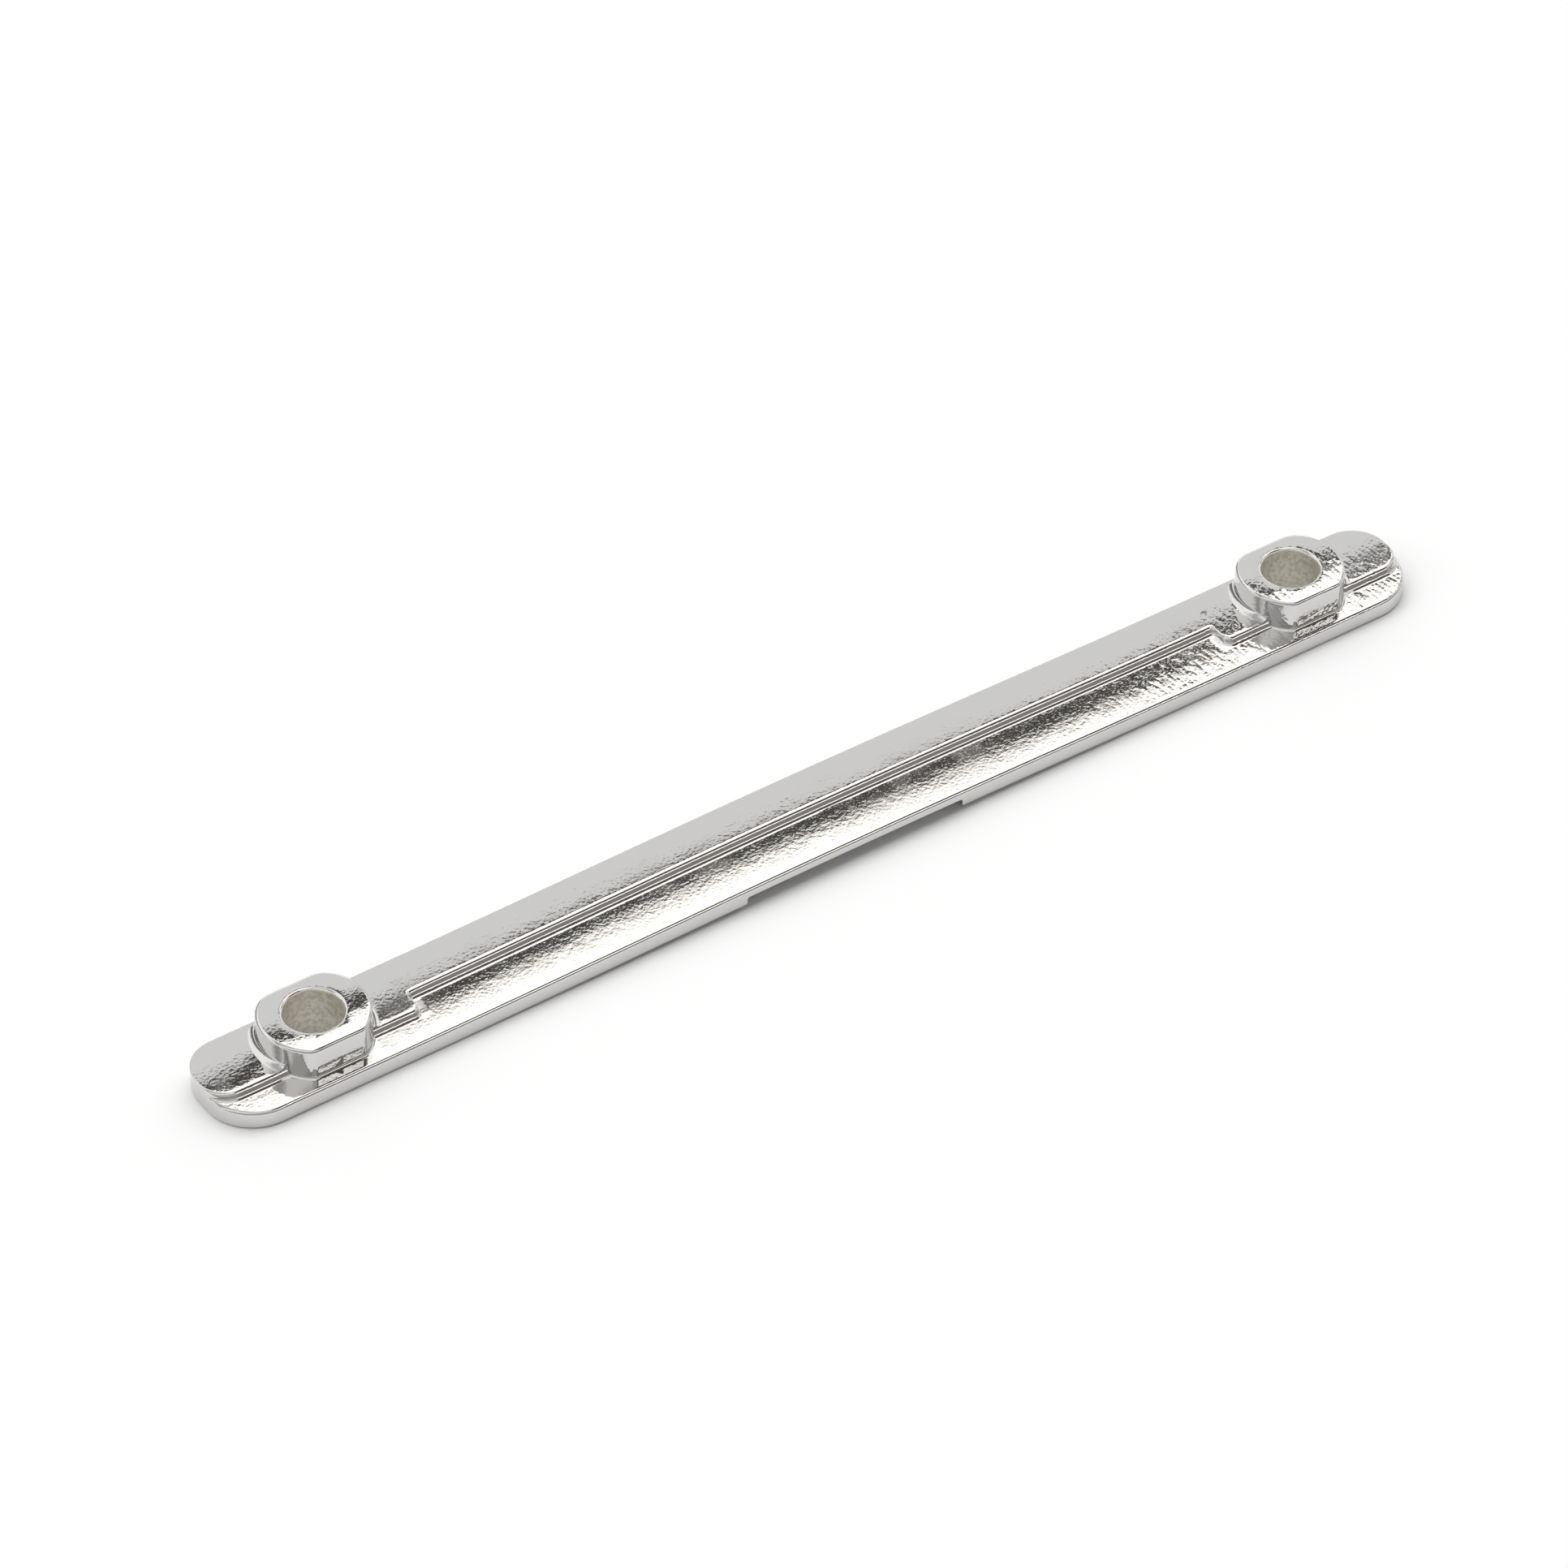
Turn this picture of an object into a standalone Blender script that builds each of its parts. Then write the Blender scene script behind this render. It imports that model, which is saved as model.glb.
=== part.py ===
"""Fixing bar of a casement window stay: one die-cast, chrome-plated piece.

The bar lies along X. Its underside stands on z = 0, and the origin is the middle of its footprint.
A thin plate has a raised strip along its back edge. The strip is narrow in the middle and steps
forward, in a notch, near each end. Near each end stands a tall boss with a flat front and a flat
back, which carries a screw bore. The underside is relieved between two pads.
"""

import math

import bmesh
import bpy

MM = 0.001

# Plate
END_BEYOND_HOLE = 11.6 * MM
BAR_WIDTH = 10.0 * MM
LEDGE_HEIGHT = 2.0 * MM
FRONT_CORNER_RADIUS = 4.9 * MM
BACK_CORNER_RADIUS = 3.5 * MM

# Screw bores
HOLE_SPACING = 106.0 * MM
HOLE_LINE_FROM_BACK = 4.2 * MM
BORE_DIAMETER = 5.3 * MM
BORE_CHAMFER = 0.25 * MM

# Raised strip: how far its front wall stands in front of the hole line, in the middle and at the ends
STRIP_STEP = 0.6 * MM
STRIP_MIDDLE_REACH = 0.0 * MM
STRIP_END_REACH = 2.3 * MM
NOTCH_FROM_HOLE = 9.1 * MM
NOTCH_RADIUS = 0.6 * MM
STRIP_CORNER_RADIUS = 2.0 * MM

# Bosses
BOSS_DIAMETER = 10.2 * MM
BOSS_RISE = 2.6 * MM
BOSS_FLAT_FROM_FRONT = 1.4 * MM

# Relief between the two pads of the underside
RELIEF_LENGTH = 23.4 * MM
RELIEF_DEPTH = 1.0 * MM
PAD_END_RADIUS = 0.4 * MM

# Cast edges
EDGE_RADIUS = 0.2 * MM
BOSS_EDGE_RADIUS = 0.25 * MM
BOSS_FILLET_RADIUS = 0.5 * MM
EDGE_SEGMENTS = 2
FILLET_SEGMENTS = 4
SHARP_ANGLE = math.radians(35.0)

# A flat on a boss stands no further out than this share of the boss's radius, and two corners on one
# edge take no more than this share of it
MOST_SHARE = 0.98

# How finely round shapes are divided
ARC_STEP = math.radians(9.0)
BOSS_SIDE_STEPS = 16
BORE_SIDES = 40

# How far a cutter runs past the bar, how deep a piece is rooted in the one below it, and how far a
# fillet's thin edge is sunk under the face that it meets
OVERRUN = 3.0 * MM
ROOT = 1.0 * MM
FILLET_SINK = 0.02 * MM
WELD = 0.001 * MM

# Neighbouring faces that turn by less than this are one flat face
FLAT_ANGLE = math.radians(0.5)

# Outlines are rounded to this many decimals of a metre, so that flush faces lie in exactly one plane
OUTLINE_DECIMALS = 8

CHROME_COLOUR = (0.62, 0.62, 0.60, 1.0)
CHROME_ROUGHNESS = 0.12

BAR_LENGTH = HOLE_SPACING + 2 * END_BEYOND_HOLE
HALF_LENGTH = BAR_LENGTH / 2
FRONT = -BAR_WIDTH / 2
BACK = BAR_WIDTH / 2
HOLE_Y = BACK - HOLE_LINE_FROM_BACK
STRIP_TOP = LEDGE_HEIGHT + STRIP_STEP
BOSS_TOP = STRIP_TOP + BOSS_RISE
NOTCH_X = HOLE_SPACING / 2 - NOTCH_FROM_HOLE
BOSS_RADIUS = BOSS_DIAMETER / 2
BOSS_FLAT = HOLE_Y - FRONT - BOSS_FLAT_FROM_FRONT
HOLE_CENTRES = {"left": -HOLE_SPACING / 2, "right": HOLE_SPACING / 2}


# Corners are made smaller together where the bar's width or the strip's has no room for them
STRIP_END_WIDTH = HOLE_LINE_FROM_BACK + STRIP_END_REACH
CORNER_SCALE = min(
    1.0,
    MOST_SHARE * BAR_WIDTH / (FRONT_CORNER_RADIUS + BACK_CORNER_RADIUS),
    MOST_SHARE * STRIP_END_WIDTH / (STRIP_CORNER_RADIUS + BACK_CORNER_RADIUS),
)
FRONT_CORNER = FRONT_CORNER_RADIUS * CORNER_SCALE
BACK_CORNER = BACK_CORNER_RADIUS * CORNER_SCALE
STRIP_CORNER = STRIP_CORNER_RADIUS * CORNER_SCALE


def clear_scene():
    for item in list(bpy.data.objects):
        bpy.data.objects.remove(item, do_unlink=True)


def new_collection(name):
    collection = bpy.data.collections.new(name)
    bpy.context.scene.collection.children.link(collection)
    return collection


def chrome():
    material = bpy.data.materials.new("chrome_plate")
    material.use_nodes = True
    shader = material.node_tree.nodes["Principled BSDF"]
    shader.inputs["Base Color"].default_value = CHROME_COLOUR
    shader.inputs["Metallic"].default_value = 1.0
    shader.inputs["Roughness"].default_value = CHROME_ROUGHNESS
    return material


def add_solid(name, mesh, collection):
    solid = bpy.data.objects.new(name, mesh)
    collection.objects.link(solid)
    return solid


def combine(target, operation, operand):
    modifier = target.modifiers.new(operand.name, "BOOLEAN")
    modifier.operation = operation
    modifier.solver = "EXACT"
    modifier.object = operand


def round_edges(target, radius):
    modifier = target.modifiers.new("rounded_edges", "BEVEL")
    modifier.width = radius
    modifier.segments = EDGE_SEGMENTS
    modifier.limit_method = "ANGLE"
    modifier.angle_limit = SHARP_ANGLE


def arc(centre, radius, start, turn, steps):
    """Points along an arc that turns by the angle turn from the angle start."""
    points = []
    for step in range(steps + 1):
        angle = start + turn * step / steps
        x = centre[0] + radius * math.cos(angle)
        y = centre[1] + radius * math.sin(angle)
        points.append((round(x, OUTLINE_DECIMALS), round(y, OUTLINE_DECIMALS)))
    return points


def rounded_outline(corners):
    """Points of a closed outline, from corners given as (x, y, radius)."""
    points = []
    for index, (x, y, radius) in enumerate(corners):
        before = corners[index - 1]
        after = corners[(index + 1) % len(corners)]
        if radius == 0.0:
            points.append((x, y))
            continue
        heading = math.atan2(y - before[1], x - before[0])
        turn = math.remainder(math.atan2(after[1] - y, after[0] - x) - heading, math.tau)
        setback = radius * math.tan(abs(turn) / 2)
        side = math.copysign(1.0, turn)
        centre = (
            x - setback * math.cos(heading) - side * radius * math.sin(heading),
            y - setback * math.sin(heading) + side * radius * math.cos(heading),
        )
        steps = max(1, round(abs(turn) / ARC_STEP))
        points += arc(centre, radius, heading - side * math.pi / 2, turn, steps)
    return points


def prism(name, outline, low, high, collection):
    """A closed solid with a flat outline in X and Y, from height low to height high."""
    curve = bpy.data.curves.new(name + "_outline", "CURVE")
    curve.dimensions = "2D"
    curve.fill_mode = "BOTH"
    curve.extrude = (high - low) / 2
    spline = curve.splines.new("POLY")
    spline.points.add(len(outline) - 1)
    for point, (x, y) in zip(spline.points, outline):
        point.co = (x, y, 0.0, 1.0)
    spline.use_cyclic_u = True
    drawn = add_solid(name + "_outline", curve, collection)
    graph = bpy.context.evaluated_depsgraph_get()
    mesh = bpy.data.meshes.new_from_object(drawn.evaluated_get(graph))
    bpy.data.objects.remove(drawn)
    shape = bmesh.new()
    shape.from_mesh(mesh)
    bmesh.ops.remove_doubles(shape, verts=shape.verts, dist=WELD)
    bmesh.ops.dissolve_limit(shape, angle_limit=FLAT_ANGLE, verts=shape.verts, edges=shape.edges)
    bmesh.ops.translate(shape, verts=shape.verts, vec=(0.0, 0.0, (low + high) / 2))
    shape.to_mesh(mesh)
    shape.free()
    return add_solid(name, mesh, collection)


def loft(name, sections, collection):
    """A closed solid through level sections, each given as (outline, height), lowest first."""
    shape = bmesh.new()
    rings = [[shape.verts.new((x, y, z)) for x, y in outline] for outline, z in sections]
    for lower, upper in zip(rings, rings[1:]):
        for index in range(len(lower)):
            after = (index + 1) % len(lower)
            shape.faces.new((lower[index], lower[after], upper[after], upper[index]))
    shape.faces.new(reversed(rings[0]))
    shape.faces.new(rings[-1])
    mesh = bpy.data.meshes.new(name)
    shape.to_mesh(mesh)
    shape.free()
    return add_solid(name, mesh, collection)


def boss_outline(centre_x, offset):
    """The boss's outline grown by offset: a circle cut by a front flat and by the bar's back face."""
    radius = BOSS_RADIUS + offset
    front_angle = math.asin(min((BOSS_FLAT + offset) / radius, MOST_SHARE))
    back_angle = math.asin(min(HOLE_LINE_FROM_BACK / radius, MOST_SHARE))
    turn = front_angle + back_angle
    right = arc((centre_x, HOLE_Y), radius, -front_angle, turn, BOSS_SIDE_STEPS)
    left = arc((centre_x, HOLE_Y), radius, math.pi - back_angle, turn, BOSS_SIDE_STEPS)
    return right + left


def quarter_round(radius, segments):
    """(offset, height) pairs up a hollow fillet, from its foot to where it meets the wall."""
    angles = [math.pi / 2 * step / segments for step in range(segments + 1)]
    return [(radius * (1.0 - math.sin(a)), radius * (1.0 - math.cos(a))) for a in angles]


def boss_foot(level):
    """(offset, height) pairs from below a level face up the fillet that joins it to a boss."""
    foot = level - FILLET_SINK
    fillet = quarter_round(BOSS_FILLET_RADIUS, FILLET_SEGMENTS)
    return [(BOSS_FILLET_RADIUS, foot - ROOT)] + [(offset, foot + rise) for offset, rise in fillet]


def boss(side, centre_x, collection):
    """A boss with a fillet at its foot on the ledge and a rounded rim."""
    steps = boss_foot(LEDGE_HEIGHT)
    rim = quarter_round(BOSS_EDGE_RADIUS, EDGE_SEGMENTS)
    steps += [(-rise, BOSS_TOP - offset) for offset, rise in rim]
    sections = [(boss_outline(centre_x, offset), height) for offset, height in steps]
    return loft("boss_" + side, sections, collection)


def strip_fillet(side, centre_x, strip_limit, collection):
    """The fillet at a boss's foot on the strip. It ends where the strip ends."""
    steps = boss_foot(STRIP_TOP)
    sections = [(boss_outline(centre_x, offset), height) for offset, height in steps]
    fillet = loft("strip_fillet_" + side, sections, collection)
    combine(fillet, "INTERSECT", strip_limit)
    return fillet


def strip_outline():
    """The raised strip: narrow in the middle, with a step forward outside each notch."""
    middle_front = HOLE_Y - STRIP_MIDDLE_REACH
    end_front = HOLE_Y - STRIP_END_REACH
    return rounded_outline([
        (-HALF_LENGTH, end_front, STRIP_CORNER),
        (-NOTCH_X, end_front, NOTCH_RADIUS),
        (-NOTCH_X, middle_front, NOTCH_RADIUS),
        (NOTCH_X, middle_front, NOTCH_RADIUS),
        (NOTCH_X, end_front, NOTCH_RADIUS),
        (HALF_LENGTH, end_front, STRIP_CORNER),
        (HALF_LENGTH, BACK, BACK_CORNER),
        (-HALF_LENGTH, BACK, BACK_CORNER),
    ])


def plate_outline():
    return rounded_outline([
        (-HALF_LENGTH, FRONT, FRONT_CORNER),
        (HALF_LENGTH, FRONT, FRONT_CORNER),
        (HALF_LENGTH, BACK, BACK_CORNER),
        (-HALF_LENGTH, BACK, BACK_CORNER),
    ])


def relief_cutter(collection):
    """The hollow between the pads, drawn in X and Z and run across the bar. It rounds the pads' ends."""
    half = RELIEF_LENGTH / 2
    outline = rounded_outline([
        (-half - PAD_END_RADIUS, -OVERRUN, 0.0),
        (half + PAD_END_RADIUS, -OVERRUN, 0.0),
        (half + PAD_END_RADIUS, -FILLET_SINK, 0.0),
        (half, -FILLET_SINK, PAD_END_RADIUS),
        (half, RELIEF_DEPTH, EDGE_RADIUS),
        (-half, RELIEF_DEPTH, EDGE_RADIUS),
        (-half, -FILLET_SINK, PAD_END_RADIUS),
        (-half - PAD_END_RADIUS, -FILLET_SINK, 0.0),
    ])
    cutter = prism("relief_cutter", outline, -BAR_WIDTH, BAR_WIDTH, collection)
    cutter.rotation_euler.x = math.pi / 2
    return cutter


def bore_cutter(side, centre_x, collection):
    """A bore with a chamfer at its upper mouth, turned about its axis."""
    radius = BORE_DIAMETER / 2
    mouth = radius + BORE_CHAMFER + OVERRUN
    profile = [
        (0.0, BOSS_TOP + OVERRUN),
        (mouth, BOSS_TOP + OVERRUN),
        (radius, BOSS_TOP - BORE_CHAMFER),
        (radius, -OVERRUN),
        (0.0, -OVERRUN),
    ]
    shape = bmesh.new()
    points = [shape.verts.new((r, 0.0, z)) for r, z in profile]
    for start, end in zip(points, points[1:]):
        shape.edges.new((start, end))
    mesh = bpy.data.meshes.new("bore_cutter_" + side)
    shape.to_mesh(mesh)
    shape.free()
    cutter = add_solid("bore_cutter_" + side, mesh, collection)
    cutter.location = (centre_x, HOLE_Y, 0.0)
    turned = cutter.modifiers.new("turned", "SCREW")
    turned.steps = BORE_SIDES
    turned.render_steps = BORE_SIDES
    turned.use_merge_vertices = True
    turned.merge_threshold = WELD
    return cutter


def stay_bar(parts, forms):
    bar = prism("stay_bar", plate_outline(), 0.0, LEDGE_HEIGHT, parts)
    round_edges(bar, EDGE_RADIUS)
    strip = prism("strip", strip_outline(), LEDGE_HEIGHT - ROOT, STRIP_TOP, forms)
    round_edges(strip, EDGE_RADIUS)
    combine(bar, "UNION", strip)
    strip_limit = prism("strip_limit", strip_outline(), 0.0, BOSS_TOP, forms)
    for side, centre_x in HOLE_CENTRES.items():
        combine(bar, "UNION", boss(side, centre_x, forms))
        combine(bar, "UNION", strip_fillet(side, centre_x, strip_limit, forms))
    combine(bar, "DIFFERENCE", relief_cutter(forms))
    for side, centre_x in HOLE_CENTRES.items():
        combine(bar, "DIFFERENCE", bore_cutter(side, centre_x, forms))
    bar.data.materials.append(chrome())
    bar.data.shade_smooth()
    bar.data.set_sharp_from_angle(angle=SHARP_ANGLE)
    return bar


def main():
    clear_scene()
    parts = new_collection("casement_stay_fixing_bar")
    forms = new_collection("forms_and_cutters")
    stay_bar(parts, forms)
    for item in forms.objects:
        item.hide_render = True
        item.display_type = "WIRE"


main()
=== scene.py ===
"""Looks of a casement stay's fixing bar: one chrome-plated die casting, lying on a pale table."""

import logging
import math
from collections.abc import Callable, Sequence
from dataclasses import dataclass, field
from enum import Enum

import bmesh
import bpy
from mathutils import Matrix, Vector

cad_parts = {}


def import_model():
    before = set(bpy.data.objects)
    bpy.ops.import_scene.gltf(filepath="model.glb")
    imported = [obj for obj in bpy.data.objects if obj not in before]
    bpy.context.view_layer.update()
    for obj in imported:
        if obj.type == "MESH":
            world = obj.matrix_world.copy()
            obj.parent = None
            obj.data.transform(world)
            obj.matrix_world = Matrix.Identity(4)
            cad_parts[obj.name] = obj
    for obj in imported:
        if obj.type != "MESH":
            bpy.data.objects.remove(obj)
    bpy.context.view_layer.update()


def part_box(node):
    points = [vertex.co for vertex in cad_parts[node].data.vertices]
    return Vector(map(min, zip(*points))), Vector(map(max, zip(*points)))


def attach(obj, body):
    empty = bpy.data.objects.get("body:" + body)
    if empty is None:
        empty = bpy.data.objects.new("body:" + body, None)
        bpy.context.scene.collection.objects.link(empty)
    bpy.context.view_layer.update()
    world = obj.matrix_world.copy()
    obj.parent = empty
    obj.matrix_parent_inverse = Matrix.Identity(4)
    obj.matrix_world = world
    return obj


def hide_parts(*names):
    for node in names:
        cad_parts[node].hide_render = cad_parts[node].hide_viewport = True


LOG = logging.getLogger("fixing_bar")

MM = 0.001
CAD_NODE = "stay_bar"
BODY = "root"
FINISH_SLOT = "chrome_plate"

SNAP = 0.002 * MM
FINE_SNAP = SNAP / 4
WELD = 0.0005 * MM


class Side(Enum):
    """The two ends of the bar, with the sign of X at each."""

    LEFT = -1
    RIGHT = 1


class Cut(Enum):
    """How one working solid acts on another."""

    JOIN = "UNION"
    TAKE_AWAY = "DIFFERENCE"


class Curl(Enum):
    """The section that a bevelled rim gets, as a bevel profile."""

    ROUND = 0.5
    HOLLOW = 0.0858


def solid_from(shape: bmesh.types.BMesh, name: str) -> bpy.types.Object:
    """Turn a bmesh into an object of triangles with outward faces and no doubles.

    Args:
        shape: The bmesh. It is freed.
        name: The new object's name.

    Returns:
        The object, linked to the scene at the origin.
    """
    bmesh.ops.remove_doubles(shape, verts=shape.verts, dist=WELD)
    bmesh.ops.triangulate(shape, faces=shape.faces)
    bmesh.ops.recalc_face_normals(shape, faces=shape.faces)
    mesh = bpy.data.meshes.new(name)
    shape.to_mesh(mesh)
    shape.free()
    piece = bpy.data.objects.new(name, mesh)
    bpy.context.scene.collection.objects.link(piece)
    return piece


def combine(target: bpy.types.Object, cut: Cut, tools: Sequence[bpy.types.Object]) -> None:
    """Join solids to a target, or take them away from it, and remove them.

    The work is done in millimetres, because the smallest facets are lost in metres.

    Args:
        target: The solid that is changed.
        cut: What the tools do to it.
        tools: The other solids, used up in this order.
    """
    for solid in (target, *tools):
        solid.data.transform(Matrix.Scale(1.0 / MM, 4))
    for tool in tools:
        modifier = target.modifiers.new(tool.name, "BOOLEAN")
        modifier.operation = cut.value
        modifier.solver = "EXACT"
        modifier.object = tool
    graph = bpy.context.evaluated_depsgraph_get()
    made = bpy.data.meshes.new_from_object(target.evaluated_get(graph))
    target.modifiers.clear()
    target.data = made
    made.transform(Matrix.Scale(MM, 4))
    for tool in tools:
        bpy.data.objects.remove(tool)


def bevel_edges(
    shape: bmesh.types.BMesh,
    chosen: Callable[[bmesh.types.BMEdge], bool],
    width: float,
    segments: int,
    curl: Curl = Curl.ROUND,
) -> None:
    """Bevel the edges that a test picks.

    Args:
        shape: The bmesh to change.
        chosen: The test of an edge.
        width: How far the bevel reaches onto each face.
        segments: How many faces the bevel has across it.
        curl: Whether the rim is rounded over or hollowed out.
    """
    edges = [edge for edge in shape.edges if chosen(edge)]
    bmesh.ops.bevel(
        shape,
        geom=edges,
        offset=width,
        offset_type="OFFSET",
        affect="EDGES",
        segments=segments,
        profile=curl.value,
        material=-1,
        clamp_overlap=False,
    )


def level_at(height: float) -> Callable[[bmesh.types.BMEdge], bool]:
    """Make a test for edges that lie level at a height."""
    return lambda edge: all(abs(vert.co.z - height) < SNAP for vert in edge.verts)


def share_between(value: float, start: float, end: float) -> float:
    """Say how far a value has gone from start to end, held between 0 and 1."""
    return min(max((value - start) / (end - start), 0.0), 1.0)


def everything_in(
    shape: bmesh.types.BMesh,
) -> list[bmesh.types.BMVert | bmesh.types.BMEdge | bmesh.types.BMFace]:
    """List a bmesh's points, edges and faces, as the cutting operators want them."""
    return shape.verts[:] + shape.edges[:] + shape.faces[:]


def divide_at(shape: bmesh.types.BMesh, height: float, tolerance: float) -> None:
    """Divide the faces that cross a height by edges along it.

    Args:
        shape: The bmesh to change.
        height: Where the level plane of the new edges lies.
        tolerance: How near to the plane a point counts as being on it.
    """
    bmesh.ops.bisect_plane(
        shape,
        geom=everything_in(shape),
        dist=tolerance,
        plane_co=(0.0, 0.0, height),
        plane_no=(0.0, 0.0, 1.0),
    )


def cut_flat(shape: bmesh.types.BMesh, y: float, keep_front: bool) -> None:
    """Cut a closed solid along a plane across Y and close the cut with a flat face.

    Args:
        shape: The bmesh to change.
        y: Where the plane lies.
        keep_front: Keep what is in front of the plane (lower Y), or else what is behind it.
    """
    facing = 1.0 if keep_front else -1.0
    bmesh.ops.bisect_plane(
        shape,
        geom=everything_in(shape),
        dist=SNAP,
        plane_co=(0.0, y, 0.0),
        plane_no=(0.0, facing, 0.0),
        clear_outer=True,
    )
    rim = [edge for edge in shape.edges if edge.is_boundary]
    for vert in {vert for edge in rim for vert in edge.verts}:
        vert.co.y = y
    bmesh.ops.holes_fill(shape, edges=rim, sides=0)


@dataclass(frozen=True)
class Corner:
    """One right-angled corner of a flat outline."""

    x: float
    y: float
    radius: float


def slab(
    corners: Sequence[Corner], low: float, high: float, arc_segments: int
) -> bmesh.types.BMesh:
    """Make an upright slab from a flat outline with rounded corners.

    Args:
        corners: The outline's corners in order, each a right angle.
        low: The height of its underside.
        high: The height of its top.
        arc_segments: How many faces each rounded corner has.

    Returns:
        The slab as a closed bmesh.
    """
    shape = bmesh.new()
    points = [shape.verts.new((corner.x, corner.y, low)) for corner in corners]
    shape.faces.new(points)
    for point, corner in zip(points, corners):
        bmesh.ops.bevel(
            shape,
            geom=[point],
            offset=corner.radius,
            offset_type="OFFSET",
            affect="VERTICES",
            segments=arc_segments,
            profile=0.5,
            material=-1,
            clamp_overlap=False,
        )
    grown = bmesh.ops.extrude_face_region(shape, geom=shape.faces[:])
    raised = [item for item in grown["geom"] if isinstance(item, bmesh.types.BMVert)]
    bmesh.ops.translate(shape, verts=raised, vec=(0.0, 0.0, high - low))
    bmesh.ops.recalc_face_normals(shape, faces=shape.faces)
    return shape


@dataclass(frozen=True)
class BarEnvelope:
    """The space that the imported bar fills, with the levels that its pieces share."""

    low: Vector
    high: Vector
    ledge: float = 2.0 * MM
    strip_step: float = 0.6 * MM
    hole_spacing: float = 106.0 * MM
    hole_from_back: float = 4.2 * MM
    back_corner: float = 3.5 * MM
    root: float = 1.0 * MM
    seat: float = 0.01 * MM
    rim: float = 0.32 * MM
    rim_segments: int = 6
    arc_segments: int = 14

    @property
    def strip_top(self) -> float:
        """Height of the raised strip's top."""
        return self.ledge + self.strip_step

    @property
    def hole_y(self) -> float:
        """Where the line through both bores lies across the bar."""
        return self.high.y - self.hole_from_back

    def hole_x(self, side: Side) -> float:
        """Where a bore lies along the bar."""
        return side.value * self.hole_spacing / 2

    def hold(self, shape: bmesh.types.BMesh) -> None:
        """Bring back the points that rounding errors have moved out of the envelope.

        Args:
            shape: The bmesh to change.
        """
        for vert in shape.verts:
            limits = zip(vert.co, self.low, self.high)
            vert.co = [min(max(at, least), most) for at, least, most in limits]


@dataclass(frozen=True)
class Plate:
    """The thin plate under everything, with its two pads."""

    space: BarEnvelope
    front_corner: float = 4.9 * MM
    relief_length: float = 23.4 * MM
    relief_depth: float = 1.0 * MM
    pad_end_radius: float = 0.4 * MM
    relief_corner: float = 0.25 * MM
    mouth_depth: float = 0.032 * MM

    def body(self) -> bpy.types.Object:
        """Build the plate with rounded corners and rims.

        Returns:
            The plate as a solid.
        """
        low, high = self.space.low, self.space.high
        corners = [
            Corner(low.x, low.y, self.front_corner),
            Corner(high.x, low.y, self.front_corner),
            Corner(high.x, high.y, self.space.back_corner),
            Corner(low.x, high.y, self.space.back_corner),
        ]
        shape = slab(corners, low.z, self.space.ledge, self.space.arc_segments)
        for height in (low.z, self.space.ledge):
            bevel_edges(shape, level_at(height), self.space.rim, self.space.rim_segments)
        return solid_from(shape, "plate")

    def relief(self) -> bpy.types.Object:
        """Build the tool that hollows the underside between the pads.

        Its mouth flares, so that it rounds the pads' ends, and its far corners are filleted.

        Returns:
            The tool as a solid.
        """
        half = self.relief_length / 2
        reach = self.pad_end_radius
        across = self.space.high.y - self.space.low.y
        shape = bmesh.new()
        bmesh.ops.create_cube(shape, size=1.0)
        size = (2 * (half + reach), 2 * across, self.relief_depth + 2 * self.space.root)
        bmesh.ops.scale(shape, vec=size, verts=shape.verts)
        drop = self.relief_depth - size[2] / 2
        bmesh.ops.translate(shape, vec=(0.0, 0.0, drop), verts=shape.verts)
        divide_at(shape, reach, SNAP)
        shoulders = [vert for vert in shape.verts if vert.co.z > reach - SNAP]
        for vert in shoulders:
            vert.co.x = math.copysign(half, vert.co.x)
        divide_at(shape, -self.mouth_depth, SNAP)
        self._round_pad_ends(shape, half, reach)
        at_roof = level_at(self.relief_depth)
        bevel_edges(
            shape,
            lambda edge: at_roof(edge) and abs(edge.verts[0].co.x - edge.verts[1].co.x) < SNAP,
            self.relief_corner,
            self.space.rim_segments,
        )
        return solid_from(shape, "relief")

    def _round_pad_ends(self, shape: bmesh.types.BMesh, half: float, reach: float) -> None:
        """Turn the tool's sloped mouth into a quarter round on each side.

        Args:
            shape: The tool's bmesh, with a slope between the mouth and the walls.
            half: Half the relief's length.
            reach: The quarter round's radius.
        """
        segments = self.space.rim_segments
        for step in range(1, segments):
            height = reach * (1.0 - math.cos(math.pi / 2 * step / segments))
            divide_at(shape, height, FINE_SNAP)
        for vert in shape.verts:
            up = vert.co.z / reach
            if 0.0 <= up < 1.0:
                flare = reach * (1.0 - math.sqrt(1.0 - (1.0 - up) ** 2))
                vert.co.x = math.copysign(half + flare, vert.co.x)
            elif up < 0.0:
                vert.co.x = math.copysign(half + reach, vert.co.x)


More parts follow.
